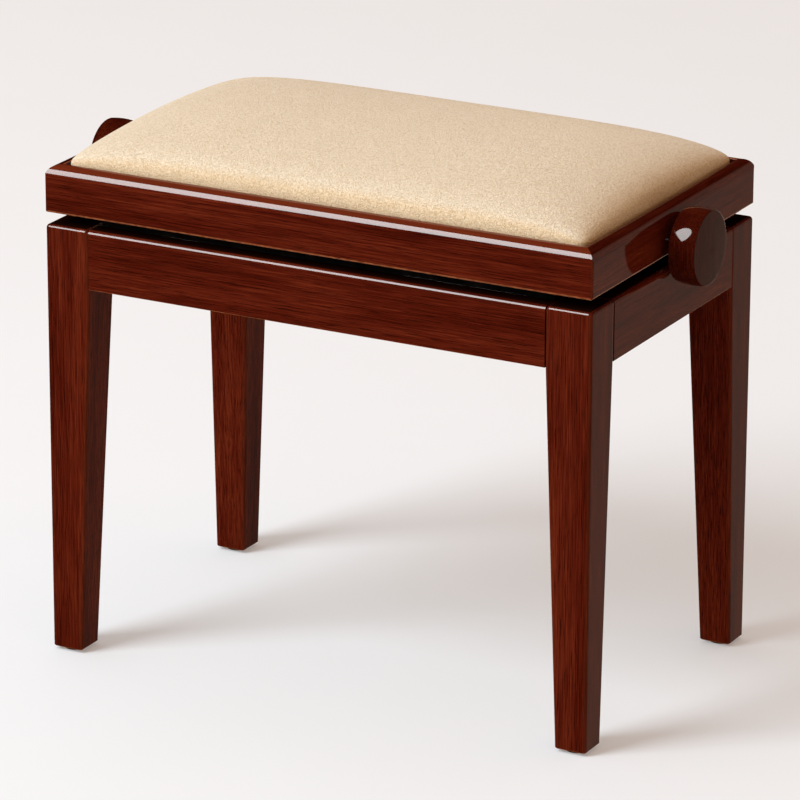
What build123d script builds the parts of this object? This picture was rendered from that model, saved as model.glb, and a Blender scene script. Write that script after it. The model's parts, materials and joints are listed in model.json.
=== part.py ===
"""Adjustable piano bench: a wooden leg frame, a padded seat frame and a screw-driven scissor lift between them.

Millimetres. +Z is up, +X runs along the length of the bench and +Y to its back. The origin is on the floor,
under the middle of the seat. The seat is at its lowest setting, where the mitred seat frame hangs just above
the leg frame. A spindle across the seat frame, with a turned knob at each end, draws a trunnion nut along
the upper channels. The nut pulls the inner arms up, and the scissor lifts the seat.
"""

import math
import os

from build123d import *

# ---------------------------------------------------------------- driving dimensions
# Overall
FRAME_LENGTH = 550.0  # over the legs, and over the seat frame
FRAME_DEPTH = 332.0
BASE_HEIGHT = 411.0  # floor to the top of the legs
SEAT_GAP = 11.0  # leg frame to seat frame at the lowest setting
LIFT_TRAVEL = 95.0

# Legs and aprons
LEG_WIDTH = 45.0
FOOT_WIDTH = 31.0
LEG_CORNER_RADIUS = 3.6
LEG_TOP_ROUND = 3.4
APRON_HEIGHT = 56.0
APRON_THICKNESS = 20.0
APRON_ROUND = 4.5
ARRIS = 1.0  # small break on the edges that aren't moulded
GLIDE_RADIUS = 11.0
GLIDE_THICKNESS = 3.0
GLIDE_PIN_RADIUS = 2.5
GLIDE_PIN_LENGTH = 14.0

# Corner braces, which pull the legs on
BRACE_THICKNESS = 2.5
BRACE_CHANNEL_CLEARANCE = 2.0  # brace above the lower channel
BRACE_LEG_CLEARANCE = 8.0  # added to the diagonal, measured along an apron
BRACE_FLANGE = 18.0
BRACE_DROP = 3.0  # apron top to brace top
LEG_BOLT_RADIUS = 4.0
LEG_BOLT_DEPTH = 26.0
WASHER_RADIUS = 9.0
WASHER_THICKNESS = 1.6
LEG_NUT_RADIUS = 7.0  # across the corners of the hexagon, halved
LEG_NUT_HEIGHT = 6.5
BOLT_STICK_OUT = 4.0

# Seat frame and upholstery
SEAT_RAIL_HEIGHT = 44.0
SEAT_RAIL_THICKNESS = 22.0
SEAT_RAIL_TOP_ROUND = 11.0
SEAT_RAIL_CORNER = 2.5
SEAT_RAIL_BOTTOM_ROUND = 3.0
RIM_WIDTH = 13.0  # bare wood round the cushion
REBATE_DEPTH = 10.0
COVER_THICKNESS = 1.5
COVER_CLEARANCE = 0.75
COVER_TURN_UNDER = 25.0
BOARD_THICKNESS = 9.0
CROWN_HEIGHT = 37.0  # middle of the cushion above the seat frame
CROWN_END_LENGTH = 110.0  # how far the crown takes to fall at each end
CROWN_END_DROP = 30.0
CROWN_SIDE_DROP = 17.5  # fall of the crown's arc from the middle to the front edge
CROWN_SIDE_ROUND = 17.0
CUSHION_CORNER = 20.0
CORNER_BLOCK_LEG = 42.0
CORNER_BLOCK_HEIGHT = 22.0

# Scissor lift
CHANNEL_THICKNESS = 2.0
CHANNEL_WIDTH = 22.0  # apron face to the face that the arms run along
CHANNEL_END_CLEARANCE = 6.0  # channel's end to a corner block
LOWER_CHANNEL_HEIGHT = 26.0
LOWER_CHANNEL_LIFT = 3.0  # above the bottom edge of the apron
UPPER_CHANNEL_DROP = 1.0  # below the rebate's shoulder
UPPER_FLANGE_BELOW_AXIS = 12.0
UPPER_SCREW_DROP = 15.0  # channel top to its wood screws
UPPER_SCREEN_DROP = 12.0  # outer flange below the seat frame, behind the apron, so that the gap looks closed
UPPER_SCREEN_CLEARANCE = 2.0  # to the legs, at the ends of the outer flange's lower strip
UPPER_SCREEN_TO_BLOCKS = 0.5  # under the corner blocks
PIVOT_END_DISTANCE = 25.0  # fixed pivots from the channels' ends
ARM_WIDTH = 22.0
ARM_THICKNESS = 4.0
ARM_GAP = 1.0  # flange to outer arm, and outer arm to inner arm
ROD_RADIUS = 5.0
RUNNING_CLEARANCE = 0.1
SLIDE_BUSH_RADIUS = 6.5
OPEN_PIVOT_CLEARANCE = 0.95  # room for the scissor pins that the lift leaves free
MID_PIN_RADIUS = 4.0
PIN_HEAD_RADIUS = 7.0
PIN_HEAD_HEIGHT = 2.5
CLIP_RADIUS = 8.0
CLIP_THICKNESS = 1.2

# Spindle
SPINDLE_ABOVE_FRAME = 8.0  # axis above the bottom edge of the seat frame
SPINDLE_RADIUS = 6.0
THREAD_PITCH = 4.0
THREAD_DEPTH = 1.0
THREAD_MARGIN = 14.0  # thread beyond the trunnion's travel, each way
NOTCH_CLEARANCE = 1.5
TRUNNION_SIZE = 16.0
TRUNNION_BLOCK = (18.0, 36.0, 30.0)
NUT_RADIUS = 11.0
NUT_FLANGE_RADIUS = 13.5
NUT_FLANGE = 3.0
BEARING_THICKNESS = 2.5
BEARING_WIDTH = 70.0
BEARING_TOP_CLEARANCE = 4.0  # bearing plate below the seat cover
BEARING_CORNER = 3.0
BEARING_SCREW_EDGE = 10.0
BEARING_SCREW_RISE = 12.0  # screws above the spindle's axis
BEARING_BUSH_RADIUS = 8.5
BEARING_FLANGE_RADIUS = 11.0
BEARING_FLANGE = 1.5
COLLAR_RADIUS = 11.0
COLLAR_WIDTH = 9.0
SET_SCREW_RADIUS = 2.5

# Knobs
KNOB_RADIUS = 34.8
KNOB_FACE_RADIUS = 34.0
KNOB_BACK_RADIUS = 33.2
KNOB_THICKNESS = 26.5
KNOB_BELLY = 16.0  # back to widest place
KNOB_STAND_OFF = 8.5
KNOB_EDGE_ROUND = 1.0
KNOB_DOME = 1.4
KNOB_BORE_DEPTH = 17.0
INSERT_RADIUS = 8.0
INSERT_LENGTH = 13.0

# Wood screws
SCREW_RADIUS = 2.0
SCREW_HEAD_RADIUS = 4.0
SCREW_HEAD_HEIGHT = 2.2
SCREW_LENGTH = 13.0
BLOCK_SCREW_LENGTH = 30.0
STAPLE = (11.0, 1.2, 0.6)  # crown's length, width and thickness
STAPLE_LEG = 6.0
STAPLE_PITCH = 38.0
STAPLE_INSET = 17.0  # from the edge of the board

# ---------------------------------------------------------------- levels and faces
HALF_LENGTH = FRAME_LENGTH / 2
HALF_DEPTH = FRAME_DEPTH / 2
APRON_BOTTOM = BASE_HEIGHT - APRON_HEIGHT
INNER_X = HALF_LENGTH - APRON_THICKNESS
INNER_Y = HALF_DEPTH - APRON_THICKNESS

SEAT_BOTTOM = BASE_HEIGHT + SEAT_GAP
SEAT_TOP = SEAT_BOTTOM + SEAT_RAIL_HEIGHT
SHOULDER = SEAT_TOP - REBATE_DEPTH
SEAT_INNER_X = HALF_LENGTH - SEAT_RAIL_THICKNESS
SEAT_INNER_Y = HALF_DEPTH - SEAT_RAIL_THICKNESS
COVER_HALF_X = HALF_LENGTH - RIM_WIDTH - COVER_CLEARANCE
COVER_HALF_Y = HALF_DEPTH - RIM_WIDTH - COVER_CLEARANCE
BOARD_HALF_X = COVER_HALF_X - COVER_THICKNESS
BOARD_HALF_Y = COVER_HALF_Y - COVER_THICKNESS
BOARD_BOTTOM = SHOULDER + COVER_THICKNESS
BOARD_TOP = BOARD_BOTTOM + BOARD_THICKNESS
CUSHION_TOP = SEAT_TOP + CROWN_HEIGHT

SPINDLE_Z = SEAT_BOTTOM + SPINDLE_ABOVE_FRAME
LOWER_CHANNEL_BOTTOM = APRON_BOTTOM + LOWER_CHANNEL_LIFT
LOWER_PIVOT_Z = LOWER_CHANNEL_BOTTOM + LOWER_CHANNEL_HEIGHT / 2 + ARRIS
UPPER_CHANNEL_TOP = SHOULDER - UPPER_CHANNEL_DROP
UPPER_CHANNEL_FOOT = SPINDLE_Z - UPPER_FLANGE_BELOW_AXIS
CHANNEL_HALF_LENGTH = SEAT_INNER_X - CORNER_BLOCK_LEG - CHANNEL_END_CLEARANCE
UPPER_SCREEN_HALF_LENGTH = HALF_LENGTH - LEG_WIDTH - UPPER_SCREEN_CLEARANCE
UPPER_SCREEN_FOOT = SEAT_BOTTOM - UPPER_SCREEN_DROP
FLANGE_Y = INNER_Y - CHANNEL_WIDTH  # face that the arms run along
OUTER_ARM_Y = FLANGE_Y - ARM_GAP  # outward face of the outer arm
INNER_ARM_Y = OUTER_ARM_Y - ARM_THICKNESS - ARM_GAP  # outward face of the inner arm

# ---------------------------------------------------------------- scissor geometry
FIXED_PIVOT_X = PIVOT_END_DISTANCE - CHANNEL_HALF_LENGTH
ARM_LENGTH = -2 * FIXED_PIVOT_X  # between end pivots
REST_RISE = SPINDLE_Z - LOWER_PIVOT_Z
REST_ANGLE = math.asin(REST_RISE / ARM_LENGTH)
TOP_ANGLE = math.asin((REST_RISE + LIFT_TRAVEL) / ARM_LENGTH)
REST_REACH = ARM_LENGTH * math.cos(REST_ANGLE)
TOP_REACH = ARM_LENGTH * math.cos(TOP_ANGLE)
FREE_PIVOT_X = FIXED_PIVOT_X + REST_REACH
MID_X = FIXED_PIVOT_X + REST_REACH / 2
MID_Z = (LOWER_PIVOT_Z + SPINDLE_Z) / 2
SLOT_HALF_HEIGHT = SLIDE_BUSH_RADIUS + OPEN_PIVOT_CLEARANCE

SIDES = {"front": -1, "back": 1}
ENDS = {"left": -1, "right": 1}


# ---------------------------------------------------------------- helpers
def block(x, y, z):
    """A box from three (low, high) pairs, given in either order."""
    (x0, x1), (y0, y1), (z0, z1) = sorted(x), sorted(y), sorted(z)
    return Pos((x0 + x1) / 2, (y0 + y1) / 2, (z0 + z1) / 2) * Box(x1 - x0, y1 - y0, z1 - z0)


def rod(start, end, radius):
    """A round bar between two points."""
    a, b = Vector(*start), Vector(*end)
    plane = Plane(origin=a, z_dir=b - a)
    return extrude(plane * Circle(radius), (b - a).length)


def rod_y(x, z, y0, y1, radius):
    """A round bar along Y at (x, z)."""
    return rod((x, y0, z), (x, y1, z), radius)


def rod_x(x0, x1, radius, y=0.0, z=SPINDLE_Z):
    """A round bar along X."""
    return rod((x0, y, z), (x1, y, z), radius)


def rounded_prism(half_x, half_y, z0, z1, radius):
    """An upright prism on a rectangle with round corners, centred on the Z axis."""
    outline = RectangleRounded(2 * half_x, 2 * half_y, radius)
    return extrude(Plane.XY.offset(z0) * outline, z1 - z0)


def side_profile(points):
    """A face in the YZ plane from (y, z) points."""
    return make_face(Polyline(*[(0, y, z) for y, z in points], close=True))


def round_corners(face, corners, tolerance=0.01):
    """Rounds the named (y, z) corners of a face in the YZ plane, each to its own radius."""
    for (y, z), radius in corners:
        found = [v for v in face.vertices() if abs(v.Y - y) < tolerance and abs(v.Z - z) < tolerance]
        face = fillet(found, radius)
    return face


def group(solids):
    """Separate solids under one node."""
    return Compound(children=[s for shape in solids for s in shape.solids()])


def less(shape, cutters):
    """The shape without what the cutters take, as solids."""
    for cutter in cutters:
        shape = shape - cutter
    return shape


# ---------------------------------------------------------------- fasteners
def wood_screw(head_at, direction, length=SCREW_LENGTH):
    """A pan-headed screw whose head sits on the face at head_at and whose shank runs along direction."""
    seat, d = Vector(*head_at), Vector(*direction).normalized()
    shank = rod(tuple(seat), tuple(seat + d * length), SCREW_RADIUS)
    head = rod(tuple(seat - d * SCREW_HEAD_HEIGHT), tuple(seat), SCREW_HEAD_RADIUS)
    top = head.faces().sort_by(Axis(tuple(seat), tuple(d)))[0]
    head = fillet(top.edges(), SCREW_HEAD_HEIGHT / 2)
    slot_depth = SCREW_HEAD_HEIGHT / 2
    recess = rod(tuple(seat - d * SCREW_HEAD_HEIGHT), tuple(seat - d * slot_depth), SCREW_RADIUS * 0.7)
    return (shank + head) - recess


def hexagon_nut(start, direction, radius, height, bore):
    """A hexagon nut on an axis, with its bore."""
    plane = Plane(origin=start, z_dir=direction)
    return extrude(plane * (RegularPolygon(radius, 6) - Circle(bore)), height)


# ---------------------------------------------------------------- leg frame
def leg(end, side):
    """A leg with upright outer faces. Below the apron its two inner faces taper to the foot."""
    top = section_at(end, side, LEG_WIDTH, BASE_HEIGHT)
    shoulder = section_at(end, side, LEG_WIDTH, APRON_BOTTOM)
    foot = section_at(end, side, FOOT_WIDTH, GLIDE_THICKNESS)
    upper = extrude(shoulder, BASE_HEIGHT - APRON_BOTTOM)
    lower = loft([foot, shoulder], ruled=True)
    body = upper + lower
    body = fillet(body.edges().group_by(Axis.Z)[-1], LEG_TOP_ROUND)
    body = chamfer(body.edges().group_by(Axis.Z)[0], ARRIS)
    x, y = foot_centre(end, side)
    pin = rod((x, y, GLIDE_THICKNESS), (x, y, GLIDE_THICKNESS + GLIDE_PIN_LENGTH), GLIDE_PIN_RADIUS)
    return less(body, [pin, leg_bolt(end, side), leg_flat(end, side)])


def section_at(end, side, width, z):
    """A leg's rounded square section at a height, with its outer corner kept on the frame's corner."""
    outline = RectangleRounded(width, width, LEG_CORNER_RADIUS)
    return Pos(end * (HALF_LENGTH - width / 2), side * (HALF_DEPTH - width / 2), z) * outline


def foot_centre(end, side):
    """Middle of a foot in plan."""
    return end * (HALF_LENGTH - FOOT_WIDTH / 2), side * (HALF_DEPTH - FOOT_WIDTH / 2)


def corner_point(end, side, u, v, z):
    """A point u from the side apron's inner face and v from the long apron's inner face."""
    return end * (INNER_X - u), side * (INNER_Y - v), z


BRACE_DIAGONAL = 2 * (LEG_WIDTH - APRON_THICKNESS) + BRACE_LEG_CLEARANCE
BRACE_TOP = BASE_HEIGHT - BRACE_DROP
BRACE_HEIGHT = BRACE_TOP - LOWER_CHANNEL_BOTTOM - LOWER_CHANNEL_HEIGHT - BRACE_CHANNEL_CLEARANCE
BRACE_MID_Z = BRACE_TOP - BRACE_HEIGHT / 2
BRACE_SLANT = BRACE_THICKNESS * math.sqrt(2)
LEG_FLAT = (LEG_WIDTH - APRON_THICKNESS) - 3.0  # the leg's inner corner is planed off for the brace


def leg_flat(end, side):
    """What is planed off a leg's inner corner, so that the bolt pulls square."""
    reach = LEG_WIDTH
    corners = [(LEG_FLAT * 2 - reach, reach), (reach, LEG_FLAT * 2 - reach), (reach, reach)]
    points = [corner_point(end, side, u, v, APRON_BOTTOM) for u, v in corners]
    return extrude(make_face(Polyline(*points, close=True)), 2 * APRON_HEIGHT, dir=(0, 0, 1))


def leg_bolt(end, side):
    """A hanger bolt on the diagonal, from inside the leg to past its nut."""
    inner = BRACE_DIAGONAL / 2 + BRACE_SLANT / 2
    beyond = (WASHER_THICKNESS + LEG_NUT_HEIGHT + BOLT_STICK_OUT) / math.sqrt(2)
    start = LEG_FLAT - LEG_BOLT_DEPTH / math.sqrt(2)
    return rod(
        corner_point(end, side, start, start, BRACE_MID_Z),
        corner_point(end, side, inner + beyond, inner + beyond, BRACE_MID_Z),
        LEG_BOLT_RADIUS,
    )


def leg_washer_and_nut(end, side):
    """The washer and the hexagon nut that draw a leg against its brace."""
    inner = BRACE_DIAGONAL / 2 + BRACE_SLANT / 2
    start = Vector(*corner_point(end, side, inner, inner, BRACE_MID_Z))
    away = Vector(-end, -side, 0).normalized()
    washer = rod(tuple(start), tuple(start + away * WASHER_THICKNESS), WASHER_RADIUS)
    washer = washer - rod(tuple(start), tuple(start + away * WASHER_THICKNESS), LEG_BOLT_RADIUS)
    seat = start + away * WASHER_THICKNESS
    return washer, hexagon_nut(seat, away, LEG_NUT_RADIUS, LEG_NUT_HEIGHT, LEG_BOLT_RADIUS)


def brace_screws(end, side):
    """The two screws that hold one brace's flanges to the aprons."""
    middle = BRACE_DIAGONAL + BRACE_FLANGE / 2
    on_long = corner_point(end, side, middle, BRACE_THICKNESS, BRACE_MID_Z)
    on_side = corner_point(end, side, BRACE_THICKNESS, middle, BRACE_MID_Z)
    return [wood_screw(on_long, (0, side, 0)), wood_screw(on_side, (end, 0, 0))]


def corner_brace(end, side):
    """A bent steel plate across the corner behind a leg, with a flange on each apron."""
    d, t, far = BRACE_DIAGONAL, BRACE_THICKNESS, BRACE_DIAGONAL + BRACE_FLANGE
    bend = d + BRACE_SLANT - t
    outline = [(far, 0), (d, 0), (0, d), (0, far), (t, far), (t, bend), (bend, t), (far, t)]
    points = [corner_point(end, side, u, v, BRACE_TOP - BRACE_HEIGHT) for u, v in outline]
    plate = extrude(make_face(Polyline(*points, close=True)), BRACE_HEIGHT, dir=(0, 0, 1))
    return less(plate, [leg_bolt(end, side), *brace_screws(end, side)])


def apron(half_out, half_run):
    """An apron between two legs, with its outer face at y = -half_out. Its outer edges are rounded."""
    inner = -half_out + APRON_THICKNESS
    face = side_profile(
        [(-half_out, APRON_BOTTOM), (-half_out, BASE_HEIGHT), (inner, BASE_HEIGHT), (inner, APRON_BOTTOM)]
    )
    face = round_corners(
        face,
        [
            ((-half_out, BASE_HEIGHT), APRON_ROUND),
            ((-half_out, APRON_BOTTOM), ARRIS),
            ((inner, BASE_HEIGHT), ARRIS),
            ((inner, APRON_BOTTOM), ARRIS),
        ],
    )
    return extrude(face, half_run, both=True)


def glide(end, side):
    """A domed plastic glide with the pin that is driven into the foot."""
    x, y = foot_centre(end, side)
    pad = rod((x, y, 0), (x, y, GLIDE_THICKNESS), GLIDE_RADIUS)
    pad = fillet(pad.edges().group_by(Axis.Z)[0], ARRIS)
    pin = rod((x, y, GLIDE_THICKNESS), (x, y, GLIDE_THICKNESS + GLIDE_PIN_LENGTH), GLIDE_PIN_RADIUS)
    return pad + pin


# ---------------------------------------------------------------- lower channels
def channel_screw_places():
    """Where each channel is screwed on, along X."""
    reach = CHANNEL_HALF_LENGTH - 20.0
    return [-reach, -reach / 3, reach / 3, reach]


def lower_channel_screws(side):
    """Screws through the lower channel's outer flange into the apron."""
    z = LOWER_CHANNEL_BOTTOM + LOWER_CHANNEL_HEIGHT / 2
    y = side * (INNER_Y - CHANNEL_THICKNESS)
    return [wood_screw((x, y, z), (0, side, 0)) for x in channel_screw_places()]


def slot(x0, x1, y0, y1, z, half_height):
    """A round-ended slot through a flange, between the centres x0 and x1."""
    ends = [rod_y(x, z, y0, y1, half_height) for x in (x0, x1)]
    return ends[0] + ends[1] + block((x0, x1), (y0, y1), (z - half_height, z + half_height))


def free_slot(side, z):
    """The slot that a free end slides in, with room at both ends of its travel."""
    y0, y1 = side * (FLANGE_Y - ARM_GAP), side * (FLANGE_Y + CHANNEL_THICKNESS + ARM_GAP)
    room = OPEN_PIVOT_CLEARANCE
    return slot(FIXED_PIVOT_X + TOP_REACH - room, FREE_PIVOT_X + room, y0, y1, z, SLOT_HALF_HEIGHT)


def lower_channel(side):
    """A steel channel, open upwards, on the inside of a long apron."""
    t, outer, inner = CHANNEL_THICKNESS, side * INNER_Y, side * FLANGE_Y
    z0, z1 = LOWER_CHANNEL_BOTTOM, LOWER_CHANNEL_BOTTOM + LOWER_CHANNEL_HEIGHT
    run = (-CHANNEL_HALF_LENGTH, CHANNEL_HALF_LENGTH)
    body = block(run, (outer, inner), (z0, z1))
    body = body - block(run, (outer - side * t, inner + side * t), (z0 + t, z1 + t))
    radius = ROD_RADIUS + RUNNING_CLEARANCE
    hole = rod_y(FIXED_PIVOT_X, LOWER_PIVOT_Z, inner - side, inner + side * (t + 1), radius)
    return less(body, [hole, free_slot(side, LOWER_PIVOT_Z), *lower_channel_screws(side)])


# ---------------------------------------------------------------- seat frame
def seat_rail(half_out, half_run):
    """A mitred seat rail, outer face at y = -half_out, with a rounded top edge and a rebate for the cushion."""
    outer, rim, inner = -half_out, -half_out + RIM_WIDTH, -half_out + SEAT_RAIL_THICKNESS
    face = side_profile(
        [
            (outer, SEAT_BOTTOM),
            (outer, SEAT_TOP),
            (rim, SEAT_TOP),
            (rim, SHOULDER),
            (inner, SHOULDER),
            (inner, SEAT_BOTTOM),
        ]
    )
    face = round_corners(
        face,
        [
            ((outer, SEAT_TOP), SEAT_RAIL_TOP_ROUND),
            ((outer, SEAT_BOTTOM), SEAT_RAIL_BOTTOM_ROUND),
            ((rim, SEAT_TOP), ARRIS),
            ((inner, SEAT_BOTTOM), ARRIS),
        ],
    )
    bar = extrude(face, half_run, both=True)
    w = SEAT_RAIL_THICKNESS
    mitre = [(-half_run, outer), (half_run, outer), (half_run - w, outer + w), (-half_run + w, outer + w)]
    outline = Polyline(*[(x, y, 0) for x, y in mitre], close=True)
    wedge = extrude(make_face(outline), 2 * SEAT_TOP, dir=(0, 0, 1))
    corners = rounded_prism(half_run, half_out, 0, 2 * SEAT_TOP, SEAT_RAIL_CORNER)
    return bar & wedge & corners


def spindle_notch(end):
    """The notch that lets the spindle into a side rail from below."""
    x0, x1 = end * (SEAT_INNER_X - 1), end * (HALF_LENGTH + 1)
    r = SPINDLE_RADIUS + NOTCH_CLEARANCE
    return rod_x(x0, x1, r) + block((x0, x1), (-r, r), (SEAT_BOTTOM - 1, SPINDLE_Z))


def seat_rails():
    """The four mitred rails, less their screw holes and notches."""
    long_rail, side_rail = seat_rail(HALF_DEPTH, HALF_LENGTH), seat_rail(HALF_LENGTH, HALF_DEPTH)
    turned = {
        "front": long_rail,
        "right": Rot(0, 0, 90) * side_rail,
        "back": Rot(0, 0, 180) * long_rail,
        "left": Rot(0, 0, -90) * side_rail,
    }
    for name, side in SIDES.items():
        turned[name] = less(turned[name], upper_channel_screws(side) + block_screws_into(name))
    for name, end in ENDS.items():
        cutters = [spindle_notch(end), *bearing_screws(end), *block_screws_into(name)]
        turned[name] = less(turned[name], cutters)
    return turned


def block_corner(end, side, u, v, z):
    """A point u from the side rail's inner face and v from the long rail's inner face."""
    return end * (SEAT_INNER_X - u), side * (SEAT_INNER_Y - v), z


def block_screws(end, side):
    """The two long screws that hold a corner block to its rails, and the one up into the seat board."""
    across = Vector(1, 1, 0).normalized()
    z = SHOULDER - CORNER_BLOCK_HEIGHT / 2
    near, far = CORNER_BLOCK_LEG * 0.3, CORNER_BLOCK_LEG * 0.7
    long_screw = wood_screw(block_corner(end, side, far, near, z), (0, side, 0), BLOCK_SCREW_LENGTH * 0.8)
    side_screw = wood_screw(block_corner(end, side, near, far, z), (end, 0, 0), BLOCK_SCREW_LENGTH * 0.8)
    middle = CORNER_BLOCK_LEG * 0.28 * across.length
    up = block_corner(end, side, middle, middle, SHOULDER - CORNER_BLOCK_HEIGHT)
    board_screw = wood_screw(up, (0, 0, 1), CORNER_BLOCK_HEIGHT + COVER_THICKNESS + BOARD_THICKNESS * 0.8)
    return long_screw, side_screw, board_screw


def block_screws_into(rail):
    """The corner block screws that bite into one rail."""
    if rail in SIDES:
        return [block_screws(end, SIDES[rail])[0] for end in ENDS.values()]
    return [block_screws(ENDS[rail], side)[1] for side in SIDES.values()]


def corner_block(end, side):
    """A three-cornered block glued and screwed behind a mitre. It also carries the seat board."""
    legs = [(0, 0), (CORNER_BLOCK_LEG, 0), (0, CORNER_BLOCK_LEG)]
    points = [block_corner(end, side, u, v, SHOULDER - CORNER_BLOCK_HEIGHT) for u, v in legs]
    body = extrude(make_face(Polyline(*points, close=True)), CORNER_BLOCK_HEIGHT, dir=(0, 0, 1))
    screws = block_screws(end, side)
    wells = [block_screw_well(end, side, along) for along in ("long", "side")]
    return less(body, [*screws, *wells])


def block_screw_well(end, side, along):
    """The counterbore that sinks a corner block screw's head."""
    z = SHOULDER - CORNER_BLOCK_HEIGHT / 2
    near, far = CORNER_BLOCK_LEG * 0.3, CORNER_BLOCK_LEG * 0.7
    if along == "long":
        start, stop = block_corner(end, side, far, near, z), block_corner(end, side, far, CORNER_BLOCK_LEG, z)
    else:
        start, stop = block_corner(end, side, near, far, z), block_corner(end, side, CORNER_BLOCK_LEG, far, z)
    return rod(start, stop, SCREW_HEAD_RADIUS + 0.5)


# ---------------------------------------------------------------- cushion
def cushion_form(inset, bottom):
    """A crowned cushion: long elliptical falls at the ends, a shallow arc front to back, round corners."""
    half_x, half_y, top = COVER_HALF_X - inset, COVER_HALF_Y - inset, CUSHION_TOP - inset
    shoulder = top - CROWN_END_DROP
    flat = half_x - CROWN_END_LENGTH
    right = EllipticalCenterArc((flat, shoulder), CROWN_END_LENGTH, CROWN_END_DROP, 0, arc_size=90)
    left = EllipticalCenterArc((-flat, shoulder), CROWN_END_LENGTH, CROWN_END_DROP, 90, arc_size=90)
    lines = [
        right,
        Line((flat, top), (-flat, top)),
        left,
        Line((-half_x, shoulder), (-half_x, bottom)),
        Line((-half_x, bottom), (half_x, bottom)),
        Line((half_x, bottom), (half_x, shoulder)),
    ]
    along = extrude(Plane.XZ * make_face(Wire(lines)), 2 * half_y, both=True)
    side_top = top - CROWN_SIDE_DROP
    across = make_face(
        Wire(
            [
                ThreePointArc((0, -half_y, side_top), (0, 0, top), (0, half_y, side_top)),
                Line((0, half_y, side_top), (0, half_y, bottom)),
                Line((0, half_y, bottom), (0, -half_y, bottom)),
                Line((0, -half_y, bottom), (0, -half_y, side_top)),
            ]
        )
    )
    across = round_corners(across, [((s * half_y, side_top), CROWN_SIDE_ROUND - inset) for s in (-1, 1)])
    across = extrude(across, 2 * half_x, both=True)
    plan = rounded_prism(half_x, half_y, bottom, top + 1, CUSHION_CORNER - inset)
    return along & across & plan


def seat_board():
    """The plywood board under the foam."""
    corner = CUSHION_CORNER - COVER_THICKNESS
    board = rounded_prism(BOARD_HALF_X, BOARD_HALF_Y, BOARD_BOTTOM, BOARD_TOP, corner)
    return less(board, [block_screws(e, s)[2] for e in ENDS.values() for s in SIDES.values()])


def seat_foam():
    """The foam on the board."""
    return cushion_form(COVER_THICKNESS, BOARD_TOP)


def seat_cover():
    """The cloth over the foam, round the board's edges and turned in under it."""
    outer = cushion_form(0, SHOULDER)
    inner = cushion_form(COVER_THICKNESS, BOARD_BOTTOM)
    window = rounded_prism(
        COVER_HALF_X - COVER_TURN_UNDER,
        COVER_HALF_Y - COVER_TURN_UNDER,
        SHOULDER - 1,
        BOARD_BOTTOM + 1,
        CUSHION_CORNER / 2,
    )
    screws = [block_screws(e, s)[2] for e in ENDS.values() for s in SIDES.values()]
    return less(outer, [inner, window, *screws])


def staple_at(x, y, turned):
    """One staple with its crown on the turned-in cloth and its legs in the board."""
    length, width, thick = STAPLE
    crown = block((-length / 2, length / 2), (-width / 2, width / 2), (SHOULDER - thick, SHOULDER))
    legs = [
        block((s * length / 2, s * (length / 2 - thick)), (-width / 2, width / 2), (SHOULDER, SHOULDER + STAPLE_LEG))
        for s in (-1, 1)
    ]
    return Pos(x, y, 0) * Rot(0, 0, 90 if turned else 0) * (crown + legs[0] + legs[1])


def cover_staples():
    """A row of staples along each side of the board, clear of the rebate and the corner blocks."""
    x_line, y_line = BOARD_HALF_X - STAPLE_INSET, BOARD_HALF_Y - STAPLE_INSET
    clear = CORNER_BLOCK_LEG + STAPLE[0] + SEAT_RAIL_THICKNESS - RIM_WIDTH
    staples = []
    for half_run, fixed, turned in ((BOARD_HALF_X, y_line, False), (BOARD_HALF_Y, x_line, True)):
        count = int(2 * (half_run - clear) // STAPLE_PITCH)
        for i in range(count + 1):
            along = (i - count / 2) * STAPLE_PITCH
            for s in (-1, 1):
                x, y = (s * fixed, along) if turned else (along, s * fixed)
                staples.append(staple_at(x, y, turned))
    return group(staples)


# ---------------------------------------------------------------- upper channels and bearings
def upper_channel_screws(side):
    """Screws through the upper channel's outer flange into the seat rail."""
    z = UPPER_CHANNEL_TOP - UPPER_SCREW_DROP
    y = side * (SEAT_INNER_Y - CHANNEL_THICKNESS)
    return [wood_screw((x, y, z), (0, side, 0)) for x in channel_screw_places()]


def upper_channel(side):
    """A steel channel, open downwards, on the inside of a long seat rail. Its inner flange carries the scissor,
    and its deeper outer flange hangs behind the apron, in a strip that runs on under the corner blocks.
    """
    t, outer, inner = CHANNEL_THICKNESS, side * SEAT_INNER_Y, side * FLANGE_Y
    run = (-CHANNEL_HALF_LENGTH, CHANNEL_HALF_LENGTH)
    top, foot = UPPER_CHANNEL_TOP, UPPER_CHANNEL_FOOT
    body = block(run, (outer, inner), (top - t, top))
    body = body + block(run, (outer, outer - side * t), (UPPER_SCREEN_FOOT, top))
    strip = (-UPPER_SCREEN_HALF_LENGTH, UPPER_SCREEN_HALF_LENGTH)
    body = body + block(strip, (outer, outer - side * t), (UPPER_SCREEN_FOOT, SEAT_BOTTOM - UPPER_SCREEN_TO_BLOCKS))
    body = body + block(run, (inner, inner + side * t), (foot, top))
    pin = upper_pivot_pin(side)
    return less(body, [pin, free_slot(side, SPINDLE_Z), *upper_channel_screws(side)])


def upper_pivot_pin(side):
    """The shouldered pin that an outer arm hangs from, riveted into the upper channel's inner flange."""
    head_end = side * (FLANGE_Y + CHANNEL_THICKNESS)
    tip = side * (OUTER_ARM_Y - ARM_THICKNESS - 2 * CLIP_THICKNESS)
    shank = rod_y(FIXED_PIVOT_X, SPINDLE_Z, head_end, tip, MID_PIN_RADIUS)
    head_top = head_end + side * PIN_HEAD_HEIGHT
    return shank + rod_y(FIXED_PIVOT_X, SPINDLE_Z, head_end, head_top, PIN_HEAD_RADIUS)


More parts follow.
